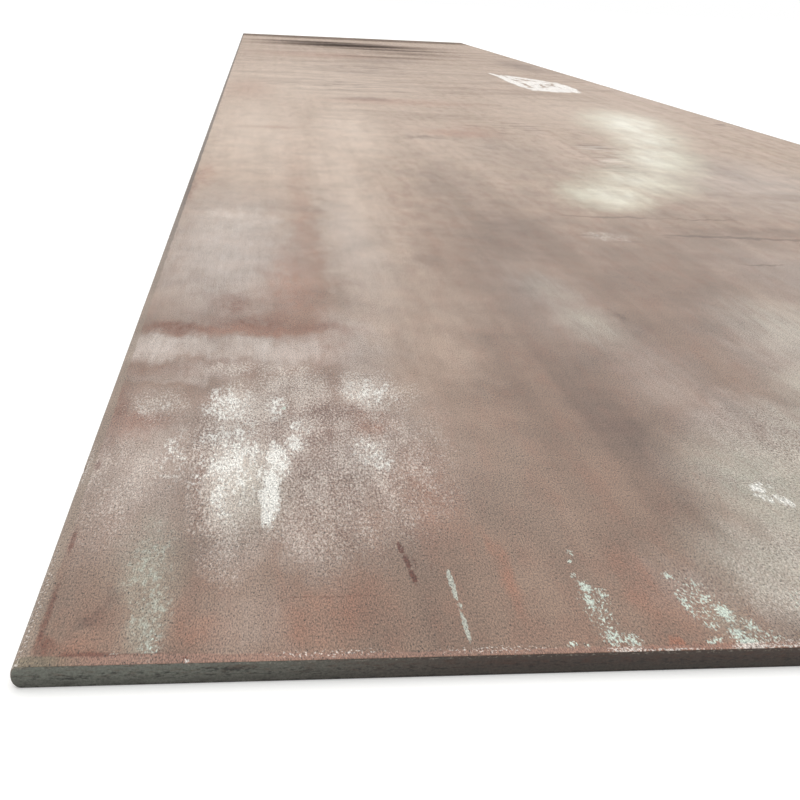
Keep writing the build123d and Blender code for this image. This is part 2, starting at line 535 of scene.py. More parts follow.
    # Pale chips along the near rim, with painted highlights along the very edge of the near end from about
    # 500 to 690 across.
    chips_and_painted_highlights: Coat = Coat("chips along the edge", "#dcd3ca", 0.5, (2.6, 2.6), 2.0, 0.4, spots(
        (400, 8, 90, 9, 0.28), (700, 7, 110, 12, 0.46), (260, 8, 90, 9, 0.28), (518, 3.0, 24, 6, 0.6, 0.6),
        (560, 1.5, 60, 3.5, 0.6), (632, 3.0, 28, 7, 0.66, 0.6), (670, 2.0, 60, 4, 0.66),
        (142, 2.5, 5, 4, 0.8), (5, 100, 9, 220, 0.26), (5, 400, 9, 120, 0.3), (3, 3, 7, 6, 0.9),
    ), opacity=0.8, warp=0.03, detail=1.0)
    paint: Coat = Coat("worn white paint strokes", "#f4efe9", 0.5, (26, 120), 2.0, 0.6, spots(
        (1826, 7130, 30, 260, 0.95, 0.6, 4), (1824, 6560, 46, 740, 0.95, 0.5, -1),
        (1880, 6900, 44, 300, 0.8, 0.5, 10), (1990, 6860, 60, 400, 0.95, 0.5, 22),
        (2095, 6260, 62, 480, 0.95, 0.5, -3), (1960, 6560, 150, 190, 0.95, 0.5),
        (1945, 6030, 180, 210, 0.95, 0.5, 12), (1910, 6320, 54, 330, 0.85, 0.5, -6),
        (2015, 6200, 58, 300, 0.85, 0.5, 6),
    ), warp=0.12, opacity=0.92, detail=4.0)

    def dress(self, box: Box) -> bpy.types.Material:
        """Make the material.

        Args:
            box: the plate's lowest and highest corners, in metres.

        Returns:
            The material.
        """
        sheet = Sheet(bpy.data.materials.new(self.name))
        ground = sheet.add("VectorMath", {0: sheet.place(box), 1: (1.0, 1.0, 0.0)}, operation="MULTIPLY")
        sway = sheet.sway(ground, self.warp_size, self.warp_reach)
        kinds = [streak for streak in Streak if streak is not Streak.NONE]
        fields = {streak: sheet.clumps(ground, streak.value, detail=3.0, shift=7.7) for streak in kinds}
        grains = sheet.clumps(ground, self.grain, detail=2.0, shift=3.1)
        state = {
            "colour": self.bare_tone(sheet, ground),
            "roughness": sheet.spread(grains, self.roughness - 0.1, self.roughness + 0.1),
            "height": sheet.add("Math", {0: grains, 1: self.grain_height}, operation="MULTIPLY"),
        }
        state = sheet.lay(self.coats, ground, sway, fields, state, shift=17.0)
        state = sheet.lay((self.powder,), ground, sway, fields, state, shift=13.0)
        shine = sheet.spread(state["mask"], *self.gloss)
        state = self.rims(sheet, ground, state)
        state = sheet.lay((self.seams, self.chips_and_painted_highlights, self.paint), ground, sway, fields, state, shift=91.0)
        fine = sheet.spread(grains, -self.grain_contrast, self.grain_contrast, 0.25, 0.75)
        along = sheet.add("SeparateXYZ", {0: ground}, "Y")
        swing = sheet.eased(along, *self.fading, *self.mottling)
        centred = sheet.spread(sheet.clumps(ground, self.mottle, detail=6.0, shift=5.7), -1.0, 1.0, 0.2, 0.8)
        coarse = sheet.add("Math", {0: centred, 1: swing, 2: 1.0}, operation="MULTIPLY_ADD")
        speck = sheet.add("Math", {0: fine, 1: coarse}, operation="ADD")
        holes = sheet.clumps(ground, self.pit, detail=1.0, shift=47.0)
        pits = sheet.eased(holes, *self.pitted, -self.pit_shade, 0.0)
        speck = sheet.add("Math", {0: speck, 1: pits}, operation="ADD")
        return sheet.surfaced(state, speck, {"Specular IOR Level": shine})

    def bare_tone(self, sheet: Sheet, ground: Socket) -> Socket:
        """The colour of the scale with no coat on it.

        Args:
            sheet: the material's tree.
            ground: the flat place.

        Returns:
            The colour's socket.
        """
        tone = sheet.eased(sheet.clumps(ground, self.lane, detail=4.0, shift=11.3), 0.3, 0.7)
        near, far = (sheet.blended(tone, *tones) for tones in (self.near_tones, self.far_tones))
        along = sheet.add("SeparateXYZ", {0: ground}, "Y")
        # The far tones are paler partly from weathering and partly as painted sheen, the light that the top
        # reflects at a low angle far off.
        colour = sheet.blended(sheet.eased(along, *self.bleached_and_sheen), near, far)
        clouds = sheet.clumps(ground, self.cloud, detail=4.0, shift=23.0)
        return sheet.blended(sheet.eased(clouds, 0.42, 0.72, 0.0, 0.4), colour, self.blush)

    def rims(self, sheet: Sheet, ground: Socket, under: dict) -> dict:
        """Lay the paler bands along the long edges and the near end, where the top falls away.

        Args:
            sheet: the material's tree.
            ground: the flat place.
            under: the colour, roughness and height sockets so far.

        Returns:
            The new sockets.
        """
        across, along = (sheet.add("SeparateXYZ", {0: ground}, axis) for axis in ("X", "Y"))
        waves = sheet.clumps(ground, self.waver_size, detail=3.0, shift=71.0)
        wavy = sheet.spread(waves, -self.waver, self.waver)
        from_near = sheet.add("Math", {0: along, 1: wavy}, operation="ADD")
        width = sheet.eased(across, *self.near_rim_across, *self.near_rim_widths)
        past_near = sheet.add("Math", {0: from_near, 1: width}, operation="SUBTRACT")
        near = sheet.eased(past_near, self.near_rim_soft, -self.near_rim_soft, 0.0, self.rim_share)
        from_left = sheet.add("Math", {0: across, 1: wavy}, operation="ADD")
        from_right = sheet.add("Math", {0: self.width, 1: from_left}, operation="SUBTRACT")
        left, right = (sheet.eased(d, *self.rim_inset, 0.0, self.rim_share) for d in (from_left, from_right))
        edges = sheet.add("Math", {0: left, 1: right}, operation="MAXIMUM")
        edge_tone = sheet.blended(sheet.eased(along, *self.rim_fading), *self.edge_rim_tones)
        near_tone = sheet.blended(sheet.eased(across, *self.corner_across), *self.near_rim_tones)
        colour = sheet.blended(near, sheet.blended(edges, under["colour"], edge_tone), near_tone)
        return {**under, "colour": colour}


@dataclass(frozen=True)
class EdgeSteel:
    """Steel on an edge, whose patches are placed along the edge and up it, from its lower left corner."""

    name: str
    left_tone: str
    right_tone: str
    turning: Pair  # along the edge, where the left tone gives way
    run: str  # the axis that the edge runs along
    coats: tuple[Coat, ...]
    shift: float  # moves the coats' clumps
    grain: Pair = (2.2, 2.0)
    grain_height: float = 0.25
    bend_size: Pair = (24.0, 5.0)
    bend_reach: Pair = (14.0, 3.0)

    def dress(self, box: Box) -> bpy.types.Material:
        """Make the material.

        Args:
            box: the plate's lowest and highest corners, in metres.

        Returns:
            The material.
        """
        sheet = Sheet(bpy.data.materials.new(self.name))
        solid = sheet.place(box)
        run, up = (sheet.add("SeparateXYZ", {0: solid}, axis) for axis in (self.run, "Z"))
        face = sheet.add("CombineXYZ", {0: run, 1: up, 2: 0.0})
        sway = sheet.sway(face, self.bend_size, self.bend_reach)
        grains = sheet.clumps(face, self.grain, detail=3.0, shift=3.1)
        state = {
            "colour": sheet.blended(sheet.eased(run, *self.turning), self.left_tone, self.right_tone),
            "roughness": sheet.spread(grains, 0.45, 0.65),
            "height": sheet.add("Math", {0: grains, 1: self.grain_height}, operation="MULTIPLY"),
        }
        state = sheet.lay(self.coats, face, sway, {}, state, self.shift)
        return sheet.surfaced(state, sheet.spread(grains, 0.7, 1.3, 0.25, 0.75))


@dataclass(frozen=True)
class ShearedSteel(EdgeSteel):
    """The cut end: burnished above, torn below, gone grey-green and brown with rust in its hollows."""

    name: str = "sheared_steel_darkened_by_rust"
    left_tone: str = "#6d6f66"
    right_tone: str = "#443831"
    turning: Pair = (80.0, 430.0)
    run: str = "X"
    shift: float = 29.0
    coats: tuple[Coat, ...] = (
        Coat(
            "torn band", "#413d38", 0.7, (18, 3), 2.4, 0.0, spots((1219, 2, 4000, 11, 0.62, 0.9)),
            warp=1.0, detail=4.0,
        ),
        Coat("rust stains", "#4b3025", 0.7, (12, 2.5), 2.4, 0.9, spots(
            (1219, 13, 2600, 10, 0.36), (182, 15, 46, 5, 0.6), (410, 13, 44, 6, 0.6),
            (1219, 19.4, 4000, 1.6, 0.5),
        ), opacity=0.55),
        Coat("black hollows", "#171513", 0.6, (7, 2.2), 2.6, 0.7, spots(
            (50, 8, 36, 3.4, 0.7), (125, 11, 18, 3.4, 0.6), (176, 13, 46, 4.4, 0.7), (240, 9, 30, 3, 0.5),
            (1219, 0.6, 4000, 2.6, 0.6), (1219, 20.6, 4000, 1.5, 0.62), (1219, 10, 4000, 8, 0.3),
        ), opacity=0.75),
        # Pale burrs, with a painted highlight in a band the whole width of the face just under its top edge.
        Coat("pale burrs and painted highlight", "#989184", 0.5, (4, 1.3), 2.6, 0.5, spots(
            (1219, 18.6, 4000, 2.4, 0.24), (6, 19, 10, 3, 0.7),
        ), opacity=0.6),
    )


@dataclass(frozen=True)
class RolledEdge(EdgeSteel):
    """The long edge, as it left the mill: rounded, under thin scale that the rolls drew out."""

    name: str = "as_rolled_edge_with_thin_scale"
    left_tone: str = "#7d6d61"
    right_tone: str = "#63554b"
    turning: Pair = (500.0, 3000.0)
    run: str = "Y"
    shift: float = 53.0
    coats: tuple[Coat, ...] = (
        Coat(
            "drawn scale", "#4b403a", 0.6, (70, 5), 2.4, 0.0, spots((6096, 11, 9000, 18, 0.6)),
            detail=4.0,
        ),
        Coat(
            "rust stains", "#73482f", 0.7, (16, 4), 2.4, 0.9, spots((6096, 12, 9000, 16, 0.44)),
            opacity=0.55,
        ),
        Coat(
            "loose flecks", "#b5a898", 0.5, (5, 2), 2.4, 0.5, spots((6096, 18, 9000, 5, 0.34)),
            opacity=0.6,
        ),
    )


@dataclass(frozen=True)
class Underside:
    """The underside: mill scale that the rain hasn't reached, darker and bluer, with a few rust blooms."""

    name: str = "sheltered_mill_scale_on_the_underside"
    scale: str = "#4d4a4a"
    bloom: str = "#6f4a3a"
    bloom_size: Pair = (160.0, 420.0)
    grain: Pair = (2.5, 3.0)

    def dress(self, box: Box) -> bpy.types.Material:
        """Make the material.

        Args:
            box: the plate's lowest and highest corners, in metres.

        Returns:
            The material.
        """
        sheet = Sheet(bpy.data.materials.new(self.name))
        solid = sheet.place(box)
        broad = sheet.clumps(solid, self.bloom_size, detail=6.0, shift=2.0)
        rusty = sheet.add("MapRange", {"Value": broad, "From Min": 0.48, "From Max": 0.66})
        fine = sheet.clumps(solid, self.grain, detail=2.0, shift=4.0)
        sockets = {
            "Base Color": sheet.blended(rusty, self.scale, self.bloom),
            "Roughness": sheet.add("MapRange", {"Value": fine, "To Min": 0.5, "To Max": 0.75}),
            "Normal": sheet.add("Bump", {"Height": fine, "Strength": 0.6, "Distance": 0.2 * MM}),
        }
        sheet.add("OutputMaterial", {"Surface": sheet.add("BsdfPrincipled", sockets)})
        return sheet.owner


class Side(Enum):
    """The four sides of the plate, in the order that its rim is walked."""

    NEAR = 0
    RIGHT = 1
    FAR = 2
    LEFT = 3

    @property
    def sheared(self) -> bool:
        """Whether the side was cut by the shear, and not left as rolled."""
        return self in (Side.NEAR, Side.FAR)

    @property
    def outward(self) -> np.ndarray:
        """The way that the side faces."""
        return np.array([(0.0, -1.0), (1.0, 0.0), (0.0, 1.0), (-1.0, 0.0)][self.value])


class Skin(Enum):
    """The plate's kinds of surface, in the order of its material slots."""

    TOP = 0
    CUT = 1
    ROLLED = 2
    UNDERSIDE = 3


@dataclass(frozen=True)
class Nick:
    """A place where the edge was knocked in."""

    side: Side
    at: float  # along the side, from the plate's near left corner
    width: float
    depth: float
    drop: float  # how far its bottom lies under the top


@dataclass(frozen=True)
class Wave:
    """A swell in the rolled surface."""

    depth: float
    length: float  # from crest to crest
    turn: float  # degrees from the rolling direction


@dataclass(frozen=True)
class Section:
    """The outline of an edge, from the crease on the top, round the edge, to the underside."""

    corners: tuple[Pair, ...]  # inset and height
    radii: tuple[float, ...]  # round at each corner but the first and last
    rounds: tuple[int, ...] = (6, 3, 4)  # rows on each round
    between: tuple[int, ...] = (3, 3, 5, 1)  # rows on each straight, without its ends

    def rows(self) -> np.ndarray:
        """Round the corners and divide what lies between.

        Returns:
            One row of inset and height for each line of the mesh.
        """
        points = [np.array(p, float) for p in self.corners]
        arcs = [points[:1]]
        for index, radius in enumerate(self.radii):
            before, here, after = points[index : index + 3]
            back = (before - here) / np.linalg.norm(before - here)
            ahead = (after - here) / np.linalg.norm(after - here)
            half = math.acos(float(np.clip(back @ ahead, -1, 1))) / 2
            bisector = (back + ahead) / np.linalg.norm(back + ahead)
            middle = here + bisector * radius / math.sin(half)
            start, end = (here + way * radius / math.tan(half) - middle for way in (back, ahead))
            turns = [start * (1 - t) + end * t for t in np.linspace(0, 1, self.rounds[index])]
            arcs.append([middle + turn / np.linalg.norm(turn) * radius for turn in turns])
        arcs.append(points[-1:])
        found = []
        for index, arc in enumerate(arcs[:-1]):
            found += arc
            gap = arcs[index + 1][0] - arc[-1]
            count = self.between[index]
            found += [arc[-1] + gap * (k + 1) / (count + 1) for k in range(count)]
        found = np.array(found + arcs[-1])
        found[:, 0] -= found[:, 0].min()
        return found


@dataclass(frozen=True)
class Division:
    """How closely a side is divided: finely where the camera is near, coarsely further on."""

    fine: float
    fine_length: float
    coarse: float
    growth: float
    support: tuple[float, ...] = (3.0, 8.0)  # lines beside the crease, which keep it crisp

    def places(self, length: float) -> np.ndarray:
        """Divide a side.

        Args:
            length: the side's length between its creases.

        Returns:
            The places of its lines.
        """
        places = [0.0, *self.support]
        step = self.fine
        last = length - self.support[-1]
        while places[-1] + 1.5 * step < last:
            places.append(places[-1] + step)
            if places[-1] > self.fine_length:
                step = min(step * self.growth, self.coarse)
        return np.array(places + [last, length - self.support[0], length])

    def thinned(self, places: np.ndarray, apart: float) -> list[int]:
        """Choose the lines that run on across the top.

        Args:
            places: the side's lines.
            apart: the least distance between two of them.

        Returns:
            Their numbers.
        """
        edge = len(self.support) + 1
        kept = list(range(edge))
        for index in range(edge, len(places) - edge):
            if places[index] - places[kept[-1]] >= apart:
                kept.append(index)
        return kept + list(range(len(places) - edge, len(places)))


def wobble(places: np.ndarray, lengths: tuple[float, ...], seed: int) -> np.ndarray:
    """A smooth random line.

    Args:
        places: where it is wanted.
        lengths: the waves that it is made of, the longest first.
        seed: sets their phases.

    Returns:
        Its values, from 0 to 1.
    """
    phases = np.random.default_rng(seed).uniform(0, 2 * np.pi, len(lengths))
    total = sum(
        np.sin(2 * np.pi * places / length + phase) / (k + 1)
        for k, (length, phase) in enumerate(zip(lengths, phases))
    )
    return 0.5 + 0.5 * total / sum(1 / (k + 1) for k in range(len(lengths)))


def hump(distance: float) -> float:
    """A smooth rise that is 1 at no distance and 0 from a distance of 1 on."""
    return 0.5 + 0.5 * math.cos(math.pi * distance) if abs(distance) < 1 else 0.0


@dataclass(frozen=True)
class Station:
    """One place on the rim, where a column of the mesh runs from the top round to the underside."""

    inner: int  # the crease's vertex
    crease: np.ndarray
    side: Side
    at: float
    toward: float = 0.0  # 0 level with the crease, 1 at the corner that follows
    turn: float = 0.0  # how far round that corner, in radians
    beyond: bool = False  # past the corner, on the following side

    @property
    def following(self) -> Side:
        """The side after this one."""
        return Side((self.side.value + 1) % 4)

    @property
    def outward(self) -> np.ndarray:
        """The way that the station faces."""
        return self.side.outward * math.cos(self.turn) + self.following.outward * math.sin(self.turn)

    @property
    def late(self) -> float:
        """How much of its shape comes from the following side."""
        return (1 - math.cos(2 * self.turn)) / 2

    @property
    def cut(self) -> float:
        """1 on a sheared side, 0 on a rolled one."""
        return self.side.sheared * (1 - self.late) + self.following.sheared * self.late


@dataclass
class Plate:
    """The plate itself: a flat top and underside, and a rim that is walked all round."""

    width: float
    length: float
    thickness: float
    rolled: Section = Section(
        corners=((15.0, 22.0), (1.2, 21.1), (0.0, 11.0), (1.2, 0.0), (15.0, 0.0)),
        radii=(8.5, 16.0, 7.5),
    )
    sheared: Section = Section(
        corners=((13.0, 22.0), (0.0, 21.0), (0.0, 11.0), (0.7, 0.0), (13.0, 0.0)),
        radii=(1.2, 2.0, 0.6),
    )
    corner_radius: float = 2.5
    near_division: Division = Division(3.5, 900.0, 26.0, 1.06)
    left_division: Division = Division(4.0, 1300.0, 56.0, 1.025)
    apart_across: float = 17.0
    apart_along: float = 24.0
    swells: tuple[Wave, ...] = (
        Wave(0.30, 1900.0, 88.0),
        Wave(0.22, 830.0, 93.0),
        Wave(0.10, 410.0, 85.0),
        Wave(0.18, 1300.0, 8.0),
    )
    swell_phase: float = 1.7  # radians from one swell to the next
    edge_sway: float = 0.5  # how far the rolled edge strays inwards
    rim_sway: float = 0.35  # how much the rim's drop varies
    edge_waves: tuple[float, ...] = (1700, 640, 270, 95)
    rim_waves: tuple[float, ...] = (900, 310, 120, 44)
    rim_foot: float = 14.0  # height from which the edge follows the top up and down
    torn_depth: float = 0.55  # how deep the torn part of the cut is pitted
    torn_middle: float = 5.2  # height of its middle
    torn_half: float = 6.5
    tears: tuple[float, ...] = (38, 17, 9)
    long_tear: Pair = (60.0, 11.0)  # the longest tear, and how much it grows from row to row
    seeds: tuple[int, int, int] = (5, 6, 20)  # of the edge's waves, the rim's and the first row of tears
    full_away: float = 1.5  # how soon the waves and tears are full on the way out to the edge
    nick_reach: float = 9.0  # how far a nick reaches in from the edge
    nick_sink: float = 0.35  # how far it pushes the top down, next to its depth
    corner_shares: tuple[float, ...] = (0.45, 0.8, 1.0)  # extra lines on the way to a corner
    corner_turns: int = 6  # rows round a corner, with both ends
    nicks: tuple[Nick, ...] = (
        Nick(Side.LEFT, 398.0, 9.0, 3.4, 9.0),
        Nick(Side.LEFT, 232.0, 4.0, 1.0, 4.0),
        Nick(Side.LEFT, 1648.0, 14.0, 3.0, 8.0),
        Nick(Side.LEFT, 5200.0, 40.0, 2.5, 8.0),
        Nick(Side.NEAR, 141.0, 5.0, 1.6, 3.0),
        Nick(Side.NEAR, 214.0, 3.0, 0.8, 2.0),
        Nick(Side.RIGHT, 4380.0, 30.0, 3.0, 9.0),
        Nick(Side.FAR, 900.0, 20.0, 2.0, 4.0),
    )

    def top_height(self, x: float, y: float) -> float:
        """The height of the swollen top, which is never over the plate's thickness.

        Args:
            x: the place across.
            y: the place along.

        Returns:
            The height.
        """
        down = 0.0
        for number, wave in enumerate(self.swells):
            turn = math.radians(wave.turn)
            run = x * math.cos(turn) + y * math.sin(turn)
            phase = 2 * math.pi * run / wave.length + self.swell_phase * number
            down += wave.depth * (0.5 + 0.5 * math.sin(phase))
        return self.thickness - down

    def build(self) -> bpy.types.Object:
        """Make the mesh.

        Returns:
            The plate, in metres, in the frame's place.
        """
        rim_x, rim_y = self.rolled.corners[0][0], self.sheared.corners[0][0]
        across = self.near_division.places(self.width - 2 * rim_x) + rim_x
        along = self.left_division.places(self.length - 2 * rim_y) + rim_y
        columns = self.near_division.thinned(across, self.apart_across)
        lines = self.left_division.thinned(along, self.apart_along)
        walks = {
            Side.NEAR: [(i, 0) for i in range(len(across))],
            Side.RIGHT: [(columns[-1], j) for j in lines],
            Side.FAR: [(i, lines[-1]) for i in reversed(columns)],
            Side.LEFT: [(0, j) for j in reversed(range(len(along)))],
        }
        points: list[tuple[float, float, float]] = []

        def point(x: float, y: float, z: float) -> int:
            """Add a vertex and give its number."""
            points.append((x, y, z))
            return len(points) - 1

        crossings = [(i, j) for j in lines for i in columns] + walks[Side.NEAR] + walks[Side.LEFT][::-1]
        found = {}
        for i, j in dict.fromkeys(crossings):
            found[i, j] = point(across[i], along[j], self.top_height(across[i], along[j]))
        rim = {
            side: [(found[i, j], np.array([across[i], along[j]])) for i, j in walk]
            for side, walk in walks.items()
        }
        top = self.top_faces(found, columns, lines)
        faces, skins, feet = self.rim(self.stations(rim), point)
        base = self.underside_faces(rim, feet, lines)
        skins = [Skin.TOP] * len(top) + skins + [Skin.UNDERSIDE] * len(base)
        return self.as_object(points, top + faces + base, skins)

    def top_faces(self, found: dict, columns: list[int], lines: list[int]) -> list[list[int]]:
        """Fill the top between its lines.

        Args:
            found: the vertex at each crossing of a column and a line.
            columns: the columns that cross the whole top.
            lines: the lines that cross the whole top.

        Returns:
            The faces.
        """
        faces = []
        for j, next_j in zip(lines, lines[1:]):
            for i, next_i in zip(columns, columns[1:]):
                near = range(i, next_i + 1) if j == 0 else (i, next_i)
                beside = range(next_j - 1, j, -1) if i == 0 else ()
                ring = [(k, j) for k in near] + [(next_i, next_j), (i, next_j)] + [(0, k) for k in beside]
                faces.append([found[crossing] for crossing in ring])
        return faces

    def stations(self, rim: dict) -> list[Station]:
        """Walk the rim, with extra places round each corner.

        Args:
            rim: for each side, the vertices along its crease and their places.

        Returns:
            The rim's stations, in order.
        """
        found = []
        for side in Side:
            found += [Station(inner, spot, side, spot[0 if side.sheared else 1]) for inner, spot in rim[side]]
            last = found[-1]
            found += [replace(last, toward=share) for share in self.corner_shares]
            turns = np.linspace(0, math.pi / 2, self.corner_turns)[1:-1]
            found += [replace(last, toward=1.0, turn=float(turn)) for turn in turns]
            past = replace(last, turn=math.pi / 2, beyond=True)
            found += [replace(past, toward=share) for share in reversed(self.corner_shares)]
        return found

    def outer_place(self, station: Station, own: float, other: float) -> np.ndarray:
        """Where a row of a station lies in plan.

        Args:
            station: the station.
            own: the row's distance from its own side's edge.
            other: its distance from the following side's edge.

        Returns:
            The place.
        """
        rims = {True: self.sheared.corners[0][0], False: self.rolled.corners[0][0]}
        rim, other_rim = rims[station.side.sheared], rims[station.following.sheared]
        radius = self.corner_radius * (1 - max(own / rim, other / other_rim))
        shares = (station.toward, 1.0) if station.beyond else (1.0, station.toward)
        step = (rim - own - radius) * shares[0] + radius * math.cos(station.turn)
        other_step = (other_rim - other - radius) * shares[1] + radius * math.sin(station.turn)
        return station.crease + station.side.outward * step + station.following.outward * other_step

    def rim(
        self, stations: list[Station], point: Callable[[float, float, float], int]
    ) -> tuple[list, list, dict]:
        """Make the rim from the crease on the top round to the underside.

        Args:
            stations: the rim's stations, in order.
            point: adds a vertex and gives its number.

        Returns:
            The faces, the skin of each, and the underside's vertex for each crease vertex.
        """
        sections = {True: self.sheared.rows(), False: self.rolled.rows()}
        rough = [self.outer_place(station, 0.0, 0.0) for station in stations]
        walked = np.r_[0.0, np.cumsum([np.linalg.norm(b - a) for a, b in zip(rough, rough[1:])])]
        edge_seed, rim_seed, tear_seed = self.seeds
        sway = self.edge_sway * wobble(walked, self.edge_waves, edge_seed)
        lift = self.rim_sway * (wobble(walked, self.rim_waves, rim_seed) - 0.5)
        count = len(sections[True])
        tears = [(*self.tears, self.long_tear[0] + self.long_tear[1] * row) for row in range(count)]
        torn = [wobble(walked, lengths, tear_seed + row) for row, lengths in enumerate(tears)]
        feet: dict[int, int] = {}
        table = []
        for number, station in enumerate(stations):
            own, other = sections[station.side.sheared], sections[station.following.sheared]
            column = [station.inner]
            crease_height = self.top_height(*station.crease)
            for row in range(1, count - 1):
                height = own[row, 1] * (1 - station.late) + other[row, 1] * station.late
                inset, cross = self.insets(own, row, height), self.insets(other, row, height)
                away = 1 - inset / own[0, 0] * (1 - station.late) - cross / other[0, 0] * station.late
                flat = self.outer_place(station, inset, cross)
                deep = sway[number] * (1 - station.cut)
                if row > self.lip_row:
                    within = hump((height - self.torn_middle) / self.torn_half)
                    deep += self.torn_depth * station.cut * torn[row][number] * within
                height = self.settled(height, away, crease_height, lift[number])
                if not station.beyond:
                    more, height = self.nicked(station, inset, height)
                    deep += more
                flat = flat - station.outward * deep * min(1.0, self.full_away * away)
                column.append(point(flat[0], flat[1], height))
            if station.inner not in feet:
                feet[station.inner] = point(station.crease[0], station.crease[1], 0.0)
            column.append(feet[station.inner])
            table.append(column)
        faces, skins = [], []
        for number, column in enumerate(table):
            station, after = stations[number], table[(number + 1) % len(table)]
            for row in range(len(column) - 1):
                corners = [column[row], column[row + 1], after[row + 1], after[row]]
                face = list(dict.fromkeys(corners))
                if len(face) > 2:
                    faces.append(face)
                    skins.append(self.skin_of(row, station.cut))
        return faces, skins, feet

    def insets(self, section: np.ndarray, row: int, height: float) -> float:
        """A section's inset at a height, or at a row where it runs level along the underside.

        Args:
            section: the section's rows.
            row: the row.
            height: the height.

        Returns:
            The distance from the edge.
        """
        if height < 0.01:
            return float(section[row, 0])
        rising = section[::-1]
        first = int(np.argmax(rising[:, 1] > 0)) - 1
        return float(np.interp(height, rising[first:, 1], rising[first:, 0]))

    @property
    def lip_row(self) -> int:
        """The row in the middle of the round between the rim and the side."""
        return 1 + self.rolled.between[0] + self.rolled.rounds[0] // 2

    @property
    def foot_row(self) -> int:
        """The row in the middle of the round between the side and the underside."""
        rounds, between = self.rolled.rounds, self.rolled.between
        return 1 + sum(between[:3]) + sum(rounds[:2]) + rounds[2] // 2

    def skin_of(self, row: int, cut: float) -> Skin:
        """The kind of surface at a row of the rim.

        Args:
            row: the row, from the crease.
            cut: 1 on a sheared side, 0 on a rolled one.

        Returns:
            The skin.
        """
        if row < self.lip_row:
            return Skin.TOP
        if row >= self.foot_row:
            return Skin.UNDERSIDE
        return Skin.CUT if cut > 0.5 else Skin.ROLLED

    def settled(self, height: float, away: float, crease_height: float, lift: float) -> float:
        """Join a row's height to the swollen top, and vary the rim's drop.

        Args:
            height: the row's height in the plain section.
            away: how far out it lies, from 0 at the crease to 1 at the edge.
            crease_height: the top's height at the crease.
            lift: how far the rim is raised here.

        Returns:
            The height, never over the plate's thickness.
        """
        lip = self.sheared.corners[1][1]
        near_top = max(0.0, min(1.0, (height - self.rim_foot) / (lip - self.rim_foot)))
        sunk = (self.thickness - crease_height) * near_top
        return min(height - sunk + lift * near_top * away, self.thickness)

    def nicked(self, station: Station, inset: float, height: float) -> Pair:
        """Knock a row in where a nick lies.

        Args:
            station: the rim's station.
            inset: the row's distance from the edge.
            height: its height.

        Returns:
            How far the row goes in, and its new height.
        """
        deep = 0.0
        for nick in self.nicks:
            if nick.side is not station.side:
                continue
            share = hump((station.at - nick.at) / nick.width)
            from_top = (self.thickness - height) / nick.drop
            if share > 0.0 and from_top < 1:
                knock = nick.depth * share * max(0.0, 1 - inset / self.nick_reach)
                deep += knock * (1 - from_top)
                height -= self.nick_sink * knock
        return deep, height

    def underside_faces(self, rim: dict, feet: dict, lines: list[int]) -> list[list[int]]:
        """Close the underside with strips from side to side.

        Args:
            rim: for each side, the vertices along its crease and their places.
            feet: the underside's vertex for each crease vertex.
            lines: the lines that cross the whole top.

        Returns:
            The faces.
        """
        near, right, far, left = ([feet[inner] for inner, _ in rim[side]] for side in Side)
        left.reverse()
        faces = []
        for number, (j, next_j) in enumerate(zip(lines, lines[1:])):
            first = near if number == 0 else [left[j], right[number]]
            last = far if number == len(lines) - 2 else [right[number + 1], left[next_j]]
            faces.append(list(dict.fromkeys(first + last + left[j + 1 : next_j][::-1]))[::-1])
        return faces

    def as_object(self, points: list, faces: list, skins: list) -> bpy.types.Object:
        """Turn points and faces into an object that lies in the frame.

        Args:
            points: places in millimetres from the near left corner.
            faces: vertex numbers of each face.
            skins: the skin of each face.

        Returns:
            The object.
        """
        low = np.array([-self.width / 2, -self.length / 2, 0.0])
        mesh = bpy.data.meshes.new("rolled_plate")
        mesh.from_pydata(((np.array(points) + low) * MM).tolist(), [], faces)
        mesh.polygons.foreach_set("material_index", [skin.value for skin in skins])
        mesh.polygons.foreach_set("use_smooth", [True] * len(faces))
        mesh.update()
        return placed("rolled_plate", mesh)


@dataclass(frozen=True)
class PhotoCamera:
    """A camera where the photograph was taken, above the near end and a little outside the left edge."""

    place: tuple[float, float, float] = (-1.0182, -6.8916, 0.5474)  # metres
    heading: float = 7.641  # degrees to the right of the rolling direction
    dip: float = 20.218
    lean: float = 2.851
    focal_pixels: float = 1111.9
    sensor: float = 36.0
    clip: Pair = (0.05, 300.0)  # metres

    def build(self) -> bpy.types.Object:
        """Make the camera.

        Returns:
            The camera, which is the scene's.
        """
        ahead = aimed(self.heading, -self.dip)
        level = aimed(self.heading + 90.0, 0.0)
        upright = level.cross(ahead)
        lean = math.radians(self.lean)
        right = level * math.cos(lean) + upright * math.sin(lean)
        above = upright * math.cos(lean) - level * math.sin(lean)
        data = bpy.data.cameras.new("camera")
        data.sensor_width = self.sensor
        data.lens = self.focal_pixels / PHOTO_SIDE * self.sensor
        data.clip_start, data.clip_end = self.clip
        camera = placed("camera", data)
        turned = Matrix((right, above, -ahead)).transposed().to_4x4()
        camera.matrix_world = Matrix.Translation(self.place) @ turned
        bpy.context.scene.camera = camera
        return camera


